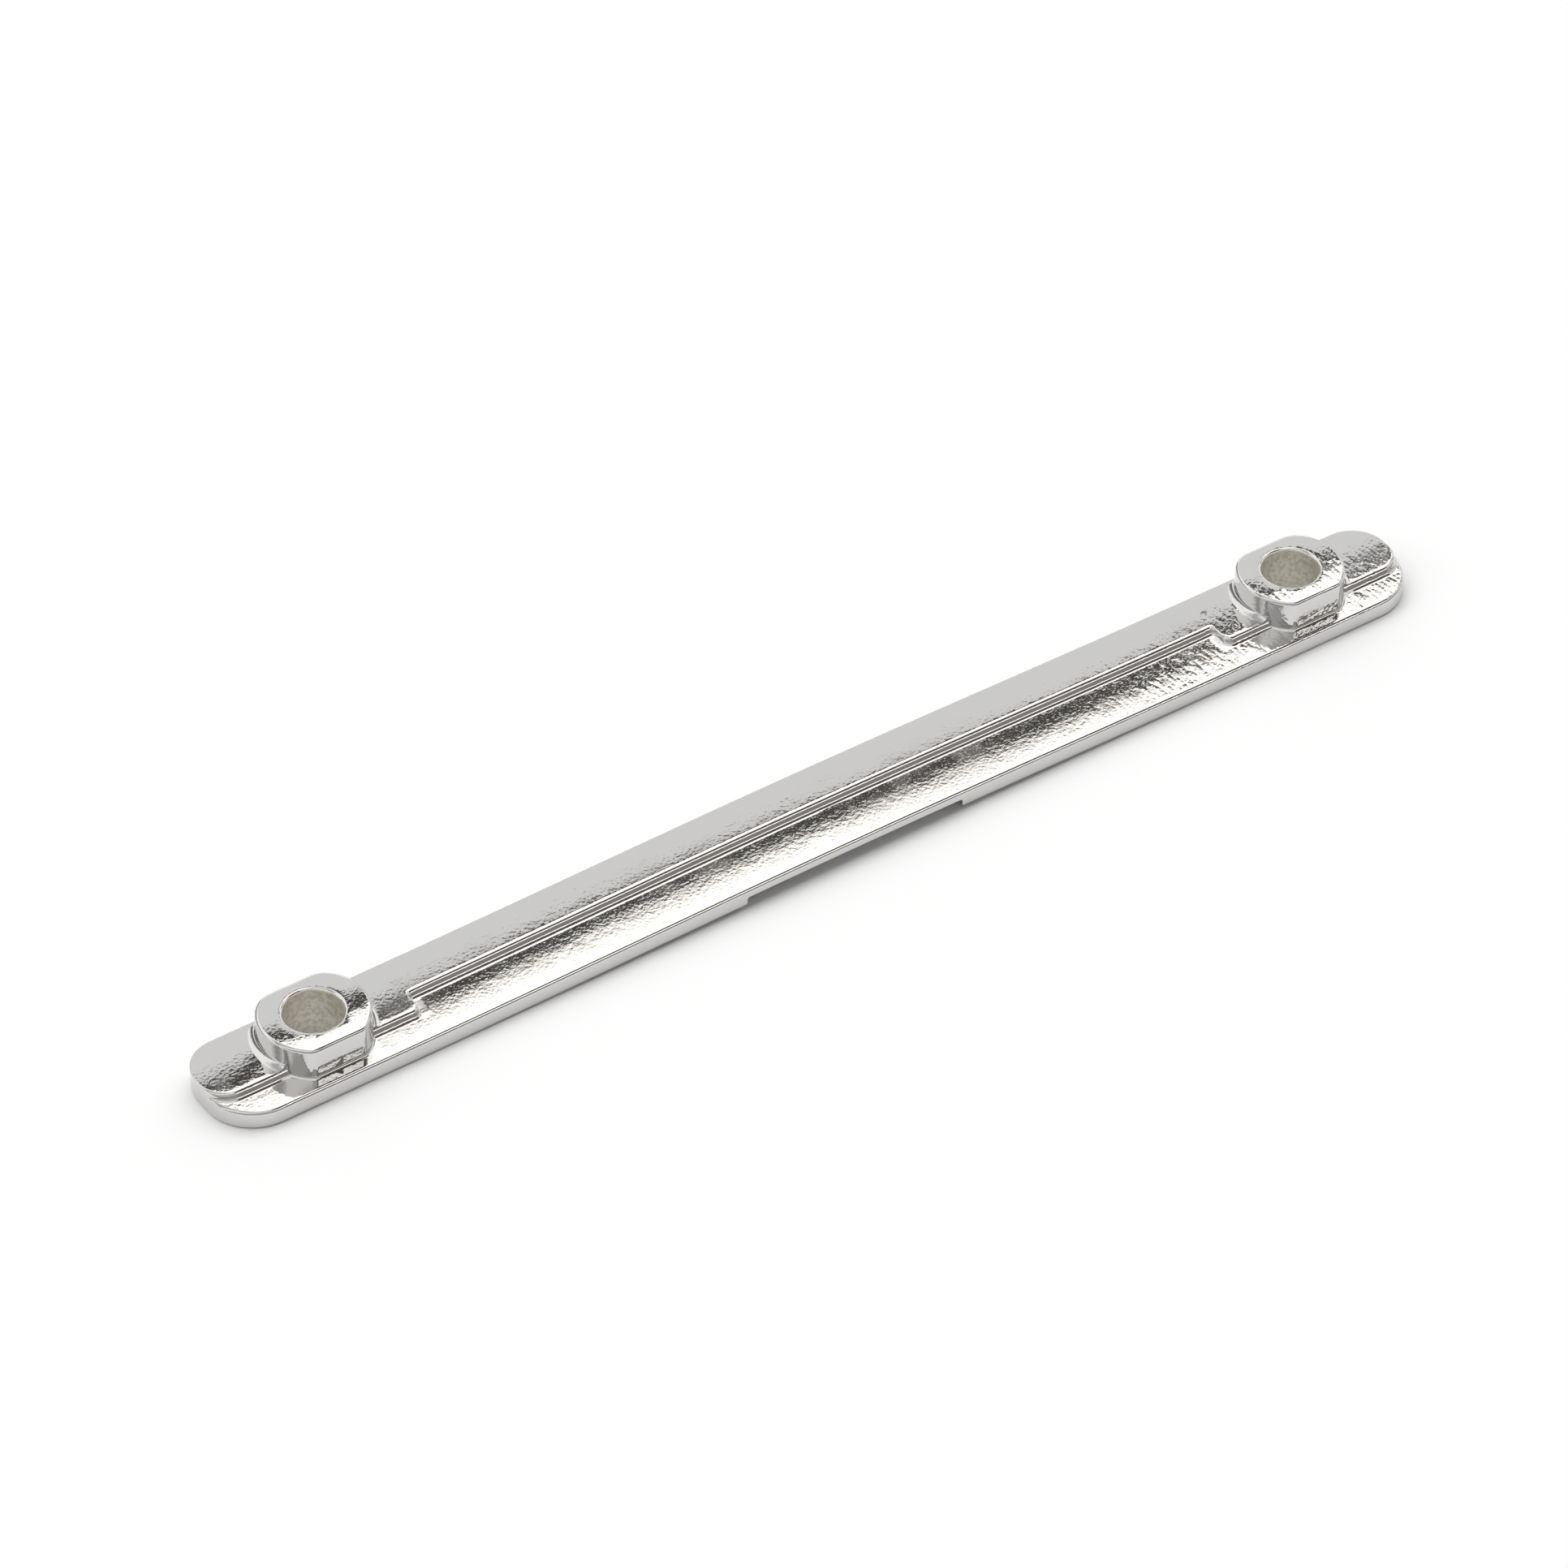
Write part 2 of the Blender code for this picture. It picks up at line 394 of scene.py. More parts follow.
@dataclass(frozen=True)
class SoftStep:
    """An S-shaped step from a face to a lower one: a rounded arc and an equal hollow one."""

    run: float
    drop: float
    levels: int = 9

    @property
    def steepest(self) -> float:
        """The slope where the two arcs meet."""
        return 2.0 * math.atan2(self.drop, self.run)

    @property
    def radius(self) -> float:
        """The radius of both arcs."""
        return self.run / (2.0 * math.sin(self.steepest))

    def drops(self) -> list[float]:
        """List the depths at which the step is divided, from the top down.

        Returns:
            Depths under the upper face, in between its two faces.
        """
        angles = [self.steepest * index / self.levels for index in range(1, self.levels + 1)]
        upper = [self.radius * (1.0 - math.cos(angle)) for angle in angles]
        lower = [self.drop - depth for depth in reversed(upper[:-1])]
        return upper + lower

    def reach(self, depth: float) -> float:
        """Say how far the step has run forward at a depth.

        Args:
            depth: Depth under the upper face.

        Returns:
            The distance in front of the upper face's edge.
        """
        if depth <= 0.0:
            return 0.0
        if depth >= self.drop:
            return self.run
        rounded = min(depth, self.drop - depth)
        near = math.sqrt(rounded * (2.0 * self.radius - rounded))
        return near if depth <= self.drop / 2 else self.run - near


@dataclass(frozen=True)
class Strip:
    """The raised strip along the back, narrow in the middle and stepped forward near each end."""

    space: BarEnvelope
    end_reach: float = 2.3 * MM
    notch_from_hole: float = 9.1 * MM
    notch_outer_radius: float = 0.8 * MM
    notch_inner_radius: float = 0.4 * MM
    notch_lean: float = 0.2
    notch_zone: float = 1.5 * MM
    end_corner: float = 2.4 * MM
    rim: float = 0.08 * MM
    run: float = 1.0 * MM
    sink: float = 0.01 * MM

    @property
    def end_front(self) -> float:
        """Where the strip's front edge lies across the bar near its ends."""
        return self.space.hole_y - self.end_reach

    @property
    def notch_x(self) -> float:
        """How far from the middle each notch stands."""
        return self.space.hole_spacing / 2 - self.notch_from_hole

    def _corners(self) -> list[Corner]:
        """Lay out the strip's outline at its top, a hair inside the bar's ends and back.

        Returns:
            The outline's corners in order, from the front of the left end.
        """
        seat = self.space.seat
        left, right = self.space.low.x + seat, self.space.high.x - seat
        back = self.space.high.y - seat
        middle = self.space.hole_y
        return [
            Corner(left, self.end_front, self.end_corner),
            Corner(-self.notch_x, self.end_front, self.notch_outer_radius),
            Corner(-self.notch_x, middle, self.notch_inner_radius),
            Corner(self.notch_x, middle, self.notch_inner_radius),
            Corner(self.notch_x, self.end_front, self.notch_outer_radius),
            Corner(right, self.end_front, self.end_corner),
            Corner(right, back, self.space.back_corner - seat),
            Corner(left, back, self.space.back_corner - seat),
        ]

    def body(self) -> bpy.types.Object:
        """Build the strip, whose front runs down to the ledge in a soft step.

        Returns:
            The strip as a solid.
        """
        top = self.space.strip_top
        low = self.space.ledge - self.space.root - self.space.seat
        step = SoftStep(self.run, self.space.strip_step + self.sink)
        shape = slab(self._corners(), low, top, self.space.arc_segments)
        bevel_edges(shape, level_at(top), self.rim, self.space.rim_segments)
        for depth in step.drops() + [step.drop]:
            divide_at(shape, top - depth, FINE_SNAP)
        front_line = self.space.hole_y + self.space.rim
        for vert in shape.verts:
            reach = step.reach(top - vert.co.z)
            if vert.co.y < front_line:
                vert.co.y -= reach
                if abs(vert.co.x) < self.notch_x + self.notch_zone:
                    vert.co.x -= math.copysign(self.notch_lean * reach, vert.co.x)
        return solid_from(shape, "strip")


@dataclass(frozen=True)
class Boss:
    """One screw boss: round, with a front flat, and flush with the bar's back."""

    space: BarEnvelope
    side: Side
    radius: float = 5.1 * MM
    flat_from_front: float = 1.4 * MM
    flat_corner: float = 0.3 * MM
    back_corner: float = 0.8 * MM
    rim: float = 0.3 * MM
    ledge_fillet: float = 0.32 * MM
    strip_fillet: float = 0.8 * MM
    skirt_from_back: float = 0.6 * MM
    corner_clearance: float = 1.5
    sides: int = 128
    bore_radius: float = 2.65 * MM
    bore_rim: float = 0.34 * MM

    @property
    def flat_y(self) -> float:
        """Where the front flat stands across the bar."""
        return self.space.low.y + self.flat_from_front

    @property
    def back_y(self) -> float:
        """Where the back flat stands, a hair inside the strip's back."""
        return self.space.high.y - 2 * self.space.seat

    def _drum(self, radius: float, low: float, high: float) -> bmesh.types.BMesh:
        """Make an upright cylinder on the bore's axis.

        Args:
            radius: The cylinder's radius.
            low: The height of its underside.
            high: The height of its top.

        Returns:
            The cylinder as a closed bmesh.
        """
        shape = bmesh.new()
        bmesh.ops.create_cone(
            shape,
            cap_ends=True,
            segments=self.sides,
            radius1=radius,
            radius2=radius,
            depth=high - low,
        )
        middle = (self.space.hole_x(self.side), self.space.hole_y, (low + high) / 2)
        bmesh.ops.translate(shape, vec=middle, verts=shape.verts)
        return shape

    def _upright_at(self, y: float) -> Callable[[bmesh.types.BMEdge], bool]:
        """Make a test for upright edges at a place across the bar.

        Args:
            y: The place.

        Returns:
            The test of an edge.
        """
        return lambda edge: (
            all(abs(vert.co.y - y) < SNAP for vert in edge.verts)
            and abs(edge.verts[0].co.z - edge.verts[1].co.z) > self.space.root
        )

    def _round_corners(
        self, shape: bmesh.types.BMesh, y: float, width: float, segments: int
    ) -> None:
        """Round the upright corners between a flat and the round side.

        The drum's narrow facets beside a corner are joined first, to leave room for the rounding.

        Args:
            shape: The boss's bmesh, cut at the flat.
            y: Where the flat lies.
            width: How far the rounding reaches from a corner.
            segments: How many faces it has.
        """
        corners = [vert.co.copy() for vert in shape.verts if abs(vert.co.y - y) < SNAP]
        near = {
            vert
            for vert in shape.verts
            if abs(vert.co.y - y) > SNAP
            and any((vert.co - corner).length < self.corner_clearance * width for corner in corners)
        }
        narrow = [
            edge
            for edge in shape.edges
            if near.issuperset(edge.verts)
            and abs(edge.verts[0].co.z - edge.verts[1].co.z) > self.space.root
        ]
        bmesh.ops.dissolve_edges(shape, edges=narrow, use_verts=True)
        bevel_edges(shape, self._upright_at(y), width, segments)

    def body(self) -> bpy.types.Object:
        """Build the boss's round body with its flats and its rounded rim.

        Returns:
            The boss as a solid.
        """
        top = self.space.high.z
        shape = self._drum(self.radius, self.space.ledge - self.space.root, top)
        cut_flat(shape, self.flat_y, keep_front=False)
        cut_flat(shape, self.back_y, keep_front=True)
        self._round_corners(shape, self.flat_y, self.flat_corner, self.space.rim_segments // 2)
        self._round_corners(shape, self.back_y, self.back_corner, self.space.rim_segments)
        bevel_edges(shape, level_at(top), self.rim, self.space.rim_segments)
        return solid_from(shape, "boss_" + self.side.name.lower())

    def skirt(self, level: float, fillet: float, front_limit: float) -> bpy.types.Object:
        """Build the hollow fillet at the boss's foot on one level.

        Args:
            level: The height of the face that the fillet runs onto.
            fillet: The fillet's radius.
            front_limit: Where the fillet stops towards the front.

        Returns:
            The fillet as a solid that reaches into the boss.
        """
        top = level + fillet
        reach = fillet - 2 * self.space.seat
        shape = self._drum(self.radius + reach, level - self.space.root / 2, top)
        cut_flat(shape, self.flat_y - reach, keep_front=False)
        bevel_edges(shape, level_at(top), fillet, 2 * self.space.rim_segments, Curl.HOLLOW)
        cut_flat(shape, self.space.high.y - self.skirt_from_back, keep_front=True)
        if front_limit > self.flat_y:
            cut_flat(shape, front_limit, keep_front=False)
        return solid_from(shape, "skirt")

    def bore(self) -> bpy.types.Object:
        """Build the tool that drills the bore and rounds its upper mouth.

        Returns:
            The tool as a solid, turned about the bore's axis.
        """
        top = self.space.high.z
        beyond = self.space.root
        steps = self.space.rim_segments
        shape = bmesh.new()
        profile = [(0.0, -beyond), (self.bore_radius, -beyond)]
        for step in range(steps + 1):
            angle = math.pi / 2 * step / steps
            out = self.bore_radius + self.bore_rim * (1.0 - math.cos(angle))
            profile.append((out, top - self.bore_rim * (1.0 - math.sin(angle))))
        profile.append((self.bore_radius + self.bore_rim + beyond, top + beyond / 2))
        profile.append((0.0, top + beyond))
        points = [shape.verts.new((reach, 0.0, height)) for reach, height in profile]
        edges = [shape.edges.new(pair) for pair in zip(points, points[1:])]
        bmesh.ops.spin(
            shape,
            geom=points + edges,
            cent=(0.0, 0.0, 0.0),
            axis=(0.0, 0.0, 1.0),
            angle=math.tau,
            steps=self.sides // 2,
            use_merge=True,
        )
        place = (self.space.hole_x(self.side), self.space.hole_y, 0.0)
        bmesh.ops.translate(shape, vec=place, verts=shape.verts)
        return solid_from(shape, "bore")


@dataclass(frozen=True)
class Crown:
    """The slight crown that the mould gives every upward face, from front to back."""

    ridge_y: float
    radius: float = 95.0 * MM
    row_spacing: float = 0.25 * MM
    column_spacing: float = 2.0 * MM
    boss_radius: float = 160.0 * MM
    from_height: float = 1.2 * MM
    full_height: float = 1.9 * MM
    boss_height: float = 4.0 * MM
    boss_full_height: float = 4.9 * MM
    level_share: float = 0.999

    def grid(self, shape: bmesh.types.BMesh, low: Vector, high: Vector) -> None:
        """Cut the casting into rows and columns, so that its large faces can take the crown.

        Only faces that lie level are cut into rows, because rows would show on sloping ones.

        Args:
            shape: The casting's bmesh.
            low: The casting's lowest corner.
            high: The casting's highest corner.
        """
        for axis, spacing in ((1, self.row_spacing), (0, self.column_spacing)):
            normal = Vector((0.0, 0.0, 0.0))
            normal[axis] = 1.0
            count = round((high[axis] - low[axis]) / spacing)
            for index in range(1, count):
                place = Vector((0.0, 0.0, 0.0))
                place[axis] = low[axis] + (high[axis] - low[axis]) * index / count
                faces = [
                    face
                    for face in shape.faces
                    if axis == 0 or abs(face.normal.z) > self.level_share
                ]
                edges = {edge for face in faces for edge in face.edges}
                verts = {vert for face in faces for vert in face.verts}
                bmesh.ops.bisect_plane(
                    shape,
                    geom=faces + list(edges) + list(verts),
                    dist=SNAP,
                    plane_co=place,
                    plane_no=normal,
                )

    def lower(self, shape: bmesh.types.BMesh) -> None:
        """Lower each upper point by how far it lies from the ridge, and more so on the bosses.

        Args:
            shape: The casting's bmesh.
        """
        for vert in shape.verts:
            away = (vert.co.y - self.ridge_y) ** 2 / 2
            share = share_between(vert.co.z, self.from_height, self.full_height)
            top = share_between(vert.co.z, self.boss_height, self.boss_full_height)
            vert.co.z -= away * (share / self.radius + top / self.boss_radius)


@dataclass(frozen=True)
class Bow:
    """The slight upward bow that the casting took as it cooled, in its middle stretch."""

    lift: float = 0.45 * MM
    half_reach: float = 47.5 * MM

    def bend(self, shape: bmesh.types.BMesh) -> None:
        """Lift the middle of the casting.

        Args:
            shape: The casting's bmesh.
        """
        for vert in shape.verts:
            share = min(abs(vert.co.x) / self.half_reach, 1.0)
            vert.co.z += self.lift * math.cos(math.pi / 2 * share) ** 2


@dataclass(frozen=True)
class CastingPit:
    """A small gas pit in the strip's top, where the casting didn't quite fill."""

    space: BarEnvelope
    x: float = 44.35 * MM
    y: float = 2.5 * MM
    radius: float = 0.27 * MM
    depth: float = 0.5 * MM
    stretch_x: float = 1.25
    stretch_y: float = 0.85
    subdivisions: int = 3

    def tool(self) -> bpy.types.Object:
        """Build the ball that presses the pit.

        Returns:
            The tool as a solid.
        """
        shape = bmesh.new()
        bmesh.ops.create_icosphere(shape, subdivisions=self.subdivisions, radius=self.radius)
        stretch = (self.stretch_x, self.stretch_y, self.depth / self.radius)
        bmesh.ops.scale(shape, vec=stretch, verts=shape.verts)
        bmesh.ops.translate(shape, vec=(self.x, self.y, self.space.strip_top), verts=shape.verts)
        return solid_from(shape, "pit")


@dataclass(frozen=True)
class Grain:
    """One noise in the finish: its scale, and how much it moves what it is added to."""

    scale: float
    amount: float
    detail: float = 1.0


@dataclass(frozen=True)
class Patches:
    """Soft-edged patches: a noise's scale, and the values between which they fade in."""

    scale: float
    start: float
    end: float
    detail: float = 3.0


FINE_PEEL = Grain(3100.0, 6.5e-6)
BROAD_PEEL = Grain(700.0, 7.0e-6)
DRAG_STREAKS = Grain(1900.0, 1.7e-5)
DRAG_PEBBLES = Grain(2300.0, 1.9e-5)
DRAG_STRETCH = (1.0, 0.33, 1.0)
PEBBLE_SMOOTHNESS = 0.25
PEBBLE_ROUNDNESS = 2.0
FILL_WANDER = Grain(90.0, 0.03, detail=2.0)
BORE_STAINS = Patches(2400.0, -0.1, 0.16)
HAZE_SMEARS = Patches(210.0, -0.05, 0.2)
BORE_MASK_START = 1.06
BORE_MASK_FULL = 1.01


class NodeKit:
    """A node tree under construction."""

    def __init__(self, tree: bpy.types.NodeTree) -> None:
        """Start work on a tree."""
        self.tree = tree

    def node(self, kind: str, **settings: object) -> bpy.types.Node:
        """Add a node.

        Args:
            kind: The node's type.
            **settings: The node's own properties and their values.

        Returns:
            The node.
        """
        made = self.tree.nodes.new(kind)
        for name, value in settings.items():
            setattr(made, name, value)
        return made

    def feed(self, value: object, target: bpy.types.NodeSocket) -> None:
        """Feed an input from another node's output, or set it.

        Args:
            value: An output socket, or the value to set.
            target: The input.
        """
        if isinstance(value, bpy.types.NodeSocket):
            self.tree.links.new(value, target)
        else:
            target.default_value = value

    def math(self, operation: str, *terms: object) -> bpy.types.NodeSocket:
        """Add a Math node fed by sockets or plain numbers.

        Args:
            operation: The node's operation.
            *terms: Its inputs in order.

        Returns:
            The node's output.
        """
        made = self.node("ShaderNodeMath", operation=operation)
        for slot, term in enumerate(terms):
            self.feed(term, made.inputs[slot])
        return made.outputs[0]

    def split(self, vector: bpy.types.NodeSocket) -> bpy.types.Node:
        """Split a vector.

        Args:
            vector: The vector's socket.

        Returns:
            A node with the outputs X, Y and Z.
        """
        made = self.node("ShaderNodeSeparateXYZ")
        self.feed(vector, made.inputs[0])
        return made

    def noise(
        self, vector: bpy.types.NodeSocket, scale: float, detail: float
    ) -> bpy.types.NodeSocket:
        """Add a noise texture centred on zero.

        Args:
            vector: The coordinate that it reads.
            scale: Its scale.
            detail: Its detail.

        Returns:
            Its value, from about -0.5 to 0.5.
        """
        made = self.node("ShaderNodeTexNoise")
        self.feed(scale, made.inputs["Scale"])
        self.feed(detail, made.inputs["Detail"])
        self.feed(vector, made.inputs["Vector"])
        return self.math("SUBTRACT", made.outputs[0], 0.5)

    def grain(self, vector: bpy.types.NodeSocket, grain: Grain) -> bpy.types.NodeSocket:
        """Add a grain's noise, scaled to its amount."""
        return self.math("MULTIPLY", self.noise(vector, grain.scale, grain.detail), grain.amount)

    def patches(self, vector: bpy.types.NodeSocket, patches: Patches) -> bpy.types.NodeSocket:
        """Add the mask of soft-edged patches."""
        noise = self.noise(vector, patches.scale, patches.detail)
        return self.fade(noise, patches.start, patches.end)

    def fade(
        self,
        value: object,
        start: object,
        end: object,
        first: object = 0.0,
        last: object = 1.0,
    ) -> bpy.types.NodeSocket:
        """Fade smoothly from one number to another as a value goes from start to end.

        Args:
            value: The value that is followed.
            start: Where the fade starts.
            end: Where it ends.
            first: The result up to the start.
            last: The result past the end.

        Returns:
            The result.
        """
        made = self.node("ShaderNodeMapRange", interpolation_type="SMOOTHSTEP")
        names = ("Value", "From Min", "From Max", "To Min", "To Max")
        for name, term in zip(names, (value, start, end, first, last)):
            self.feed(term, made.inputs[name])
        return made.outputs["Result"]

    def mix(self, share: object, first: object, second: object) -> bpy.types.NodeSocket:
        """Mix two colours.

        Args:
            share: How much of the second colour there is.
            first: A colour or a colour socket.
            second: A colour or a colour socket.

        Returns:
            The mixed colour.
        """
        made = self.node("ShaderNodeMix", data_type="RGBA")
        self.feed(share, made.inputs["Factor"])
        colours = [socket for socket in made.inputs if socket.type == "RGBA"]
        self.feed(first, colours[0])
        self.feed(second, colours[1])
        return next(socket for socket in made.outputs if socket.type == "RGBA")

    def place(self, group: bpy.types.NodeTree, **inputs: object) -> bpy.types.Node:
        """Place a node group.

        Args:
            group: The group.
            **inputs: What feeds its inputs, with an underscore for each space in a name.

        Returns:
            The group's node.
        """
        made = self.node("ShaderNodeGroup", node_tree=group)
        for name, value in inputs.items():
            self.feed(value, made.inputs[name.replace("_", " ")])
        return made


class GroupKit(NodeKit):
    """A shader node group under construction."""

    def __init__(self, name: str, inputs: dict[str, float | None], outputs: Sequence[str]) -> None:
        """Start a group.

        Args:
            name: The group's name.
            inputs: Its number inputs with their defaults, and None for a vector.
            outputs: The names of its number outputs.
        """
        super().__init__(bpy.data.node_groups.new(name, "ShaderNodeTree"))
        for label, default in inputs.items():
            kind = "NodeSocketVector" if default is None else "NodeSocketFloat"
            socket = self.tree.interface.new_socket(label, in_out="INPUT", socket_type=kind)
            if default is not None:
                socket.default_value = default
        for label in outputs:
            self.tree.interface.new_socket(label, in_out="OUTPUT", socket_type="NodeSocketFloat")
        self.inside = self.node("NodeGroupInput").outputs
        self.result = self.node("NodeGroupOutput").inputs


def orange_peel_group() -> bpy.types.NodeTree:
    """Make the height of a die casting's skin under bright plate.

    Returns:
        A group from Position, Amount and Drag to Height, in metres.
    """
    kit = GroupKit("orange_peel", {"Position": None, "Amount": 1.0, "Drag": 1.0}, ["Height"])
    position = kit.inside["Position"]
    fine = kit.grain(position, FINE_PEEL)
    broad = kit.grain(position, BROAD_PEEL)
    stretch = kit.node("ShaderNodeMapping")
    kit.feed(DRAG_STRETCH, stretch.inputs["Scale"])
    kit.feed(position, stretch.inputs["Vector"])
    streaks = kit.grain(stretch.outputs["Vector"], DRAG_STREAKS)
    pebbles = kit.node("ShaderNodeTexVoronoi", feature="SMOOTH_F1")
    kit.feed(stretch.outputs["Vector"], pebbles.inputs["Vector"])
    kit.feed(DRAG_PEBBLES.scale, pebbles.inputs["Scale"])
    kit.feed(PEBBLE_SMOOTHNESS, pebbles.inputs["Smoothness"])
    domes = kit.math("POWER", pebbles.outputs["Distance"], PEBBLE_ROUNDNESS)
    peel = kit.math("MULTIPLY", kit.math("ADD", fine, broad), kit.inside["Amount"])
    rough = kit.math("SUBTRACT", streaks, kit.math("MULTIPLY", domes, DRAG_PEBBLES.amount))
    drag = kit.math("MULTIPLY", rough, kit.inside["Drag"])
    kit.feed(kit.math("ADD", peel, drag), kit.result["Height"])
    return kit.tree


def mould_fill_group() -> bpy.types.NodeTree:
    """Make the mask of where the metal had cooled before it filled the mould.

    Returns:
        A group from Position, Start and End along X, Back and Front along Y, and Least, the mask's
        share at the back, to Mask, 0 near the gate and 1 at the front of the far end.
    """
    inputs = {
        "Position": None,
        "Start": 0.0 * MM,
        "End": 50.0 * MM,
        "Back": 2.5 * MM,
        "Front": -0.5 * MM,
        "Least": 0.3,
    }
    kit = GroupKit("mould_fill", inputs, ["Mask"])
    position = kit.inside["Position"]
    wander = kit.grain(position, FILL_WANDER)
    axes = kit.split(position).outputs
    along = kit.fade(kit.math("ADD", axes["X"], wander), kit.inside["Start"], kit.inside["End"])
    across = kit.fade(axes["Y"], kit.inside["Back"], kit.inside["Front"], kit.inside["Least"])
    kit.feed(kit.math("MULTIPLY", along, across), kit.result["Mask"])
    return kit.tree


def bore_plating_group() -> bpy.types.NodeTree:
    """Make the masks of the bores' walls, where the bright plate thins and nickel shows.

    Returns:
        A group from Position, Hole X, Hole Y and Radius to Mask, and to Stain for the patches
        inside it that have dulled.
    """
    inputs = {"Position": None, "Hole X": 50.0 * MM, "Hole Y": 0.0, "Radius": 3.0 * MM}
    kit = GroupKit("bore_plating", inputs, ["Mask", "Stain"])
    position = kit.inside["Position"]
    axes = kit.split(position).outputs
    across = kit.math("SUBTRACT", kit.math("ABSOLUTE", axes["X"]), kit.inside["Hole X"])
    deep = kit.math("SUBTRACT", axes["Y"], kit.inside["Hole Y"])
    squares = [kit.math("MULTIPLY", offset, offset) for offset in (across, deep)]
    reach = kit.math("DIVIDE", kit.math("SQRT", kit.math("ADD", *squares)), kit.inside["Radius"])
    mask = kit.fade(reach, BORE_MASK_START, BORE_MASK_FULL)
    kit.feed(mask, kit.result["Mask"])
    stains = kit.patches(position, BORE_STAINS)
    kit.feed(kit.math("MULTIPLY", mask, stains), kit.result["Stain"])
    return kit.tree


def handling_haze_group() -> bpy.types.NodeTree:
    """Make the faint uneven haze that handling leaves on bright plate.

    Returns:
        A group from Position to Haze, 0 to 1.
    """
    kit = GroupKit("handling_haze", {"Position": None}, ["Haze"])
    kit.feed(kit.patches(kit.inside["Position"], HAZE_SMEARS), kit.result["Haze"])
    return kit.tree


@dataclass(frozen=True)
class ChromePlate:
    """Bright chrome over nickel on a die casting."""

    space: BarEnvelope
    bore_radius: float
    colour: tuple[float, float, float, float] = (0.66, 0.655, 0.64, 1.0)
    nickel: tuple[float, float, float, float] = (0.90, 0.88, 0.82, 1.0)
    stain: tuple[float, float, float, float] = (0.72, 0.69, 0.62, 1.0)
    roughness: float = 0.045
    hazy_roughness: float = 0.085
    bore_roughness: float = 0.5
    peel: float = 1.0
    far_peel: float = 1.15
    bore_peel: float = 8.0
    drag: float = 0.95
    drag_start: float = 18.0 * MM

    def material(self) -> bpy.types.Material:
        """Build the plate's material.

        Returns:
            The material, which reads Object coordinates.
        """
        made = bpy.data.materials.new(FINISH_SLOT)
        made.use_nodes = True
        kit = NodeKit(made.node_tree)
        shader = made.node_tree.nodes["Principled BSDF"].inputs
        kit.feed(1.0, shader["Metallic"])
        place = kit.node("ShaderNodeTexCoord").outputs["Object"]
        half = self.space.hole_spacing / 2
        mould_fill = kit.place(
            mould_fill_group(), Position=place, Start=self.drag_start, End=half
        )
        fill = mould_fill.outputs["Mask"]
        bores = kit.place(
            bore_plating_group(),
            Position=place,
            Hole_X=half,
            Hole_Y=self.space.hole_y,
            Radius=self.bore_radius,
        ).outputs
        haze = kit.place(handling_haze_group(), Position=place).outputs["Haze"]

        plated = kit.mix(bores["Mask"], self.colour, self.nickel)
        kit.feed(kit.mix(bores["Stain"], plated, self.stain), shader["Base Color"])

        skin = kit.fade(haze, 0.0, 1.0, self.roughness, self.hazy_roughness)
        kit.feed(kit.fade(bores["Mask"], 0.0, 1.0, skin, self.bore_roughness), shader["Roughness"])

        skin_peel = kit.fade(fill, 0.0, 1.0, self.peel, self.far_peel)
        amount = kit.fade(bores["Mask"], 0.0, 1.0, skin_peel, self.bore_peel)
        drag = kit.math("MULTIPLY", fill, self.drag)
        peel = kit.place(orange_peel_group(), Position=place, Amount=amount, Drag=drag)
        bump = kit.node("ShaderNodeBump")
        kit.feed(1.0, bump.inputs["Strength"])
        kit.feed(1.0, bump.inputs["Distance"])
        kit.feed(peel.outputs["Height"], bump.inputs["Height"])
        kit.feed(bump.outputs["Normal"], shader["Normal"])
        return made


@dataclass
class FixingBar:
    """The whole casting: plate, strip and bosses in one piece of metal."""

    space: BarEnvelope
    smooth_angle: float = math.radians(42.0)
    skirt_overlap: float = 0.25 * MM
    bow: Bow = Bow()
    crown: Crown = field(init=False)
    strip: Strip = field(init=False)
    bosses: list[Boss] = field(init=False)

    def __post_init__(self) -> None:
        """Lay out the bar's forms in its envelope."""
        self.crown = Crown(ridge_y=self.space.hole_y)
        self.strip = Strip(self.space)
        self.bosses = [Boss(self.space, side) for side in Side]

    def cast(self) -> bpy.types.Object:
        """Join the forms into one closed skin.

        Returns:
            The casting, without its finish.
        """
        plate = Plate(self.space)
        casting = plate.body()
        strip_edge = self.strip.end_front - self.skirt_overlap
        combine(casting, Cut.JOIN, [self.strip.body()])
        for boss in self.bosses:
            low_skirt = boss.skirt(self.space.ledge, boss.ledge_fillet, self.space.low.y)
            high_skirt = boss.skirt(self.space.strip_top, boss.strip_fillet, strip_edge)
            combine(casting, Cut.JOIN, [boss.body(), low_skirt, high_skirt])
        bores = [boss.bore() for boss in self.bosses]
        tools = [plate.relief(), *bores, CastingPit(self.space).tool()]
        combine(casting, Cut.TAKE_AWAY, tools)
        shape = bmesh.new()
        shape.from_mesh(casting.data)
        self.crown.grid(shape, self.space.low, self.space.high)
        self.crown.lower(shape)
        self.bow.bend(shape)
        self.space.hold(shape)
        bpy.data.objects.remove(casting)
        return solid_from(shape, "stay_bar_casting")

    def dress(self, casting: bpy.types.Object) -> None:
        """Shade the casting smooth, plate it and put it in the frame.

        Args:
            casting: The finished skin.
        """
        casting.data.shade_smooth()
        casting.data.set_sharp_from_angle(angle=self.smooth_angle)
        weighted = casting.modifiers.new("face_weighted", "WEIGHTED_NORMAL")
        weighted.keep_sharp = True
        plating = ChromePlate(self.space, self.bosses[0].bore_radius)
        casting.data.materials.append(plating.material())
        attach(casting, BODY)
        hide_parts(CAD_NODE)


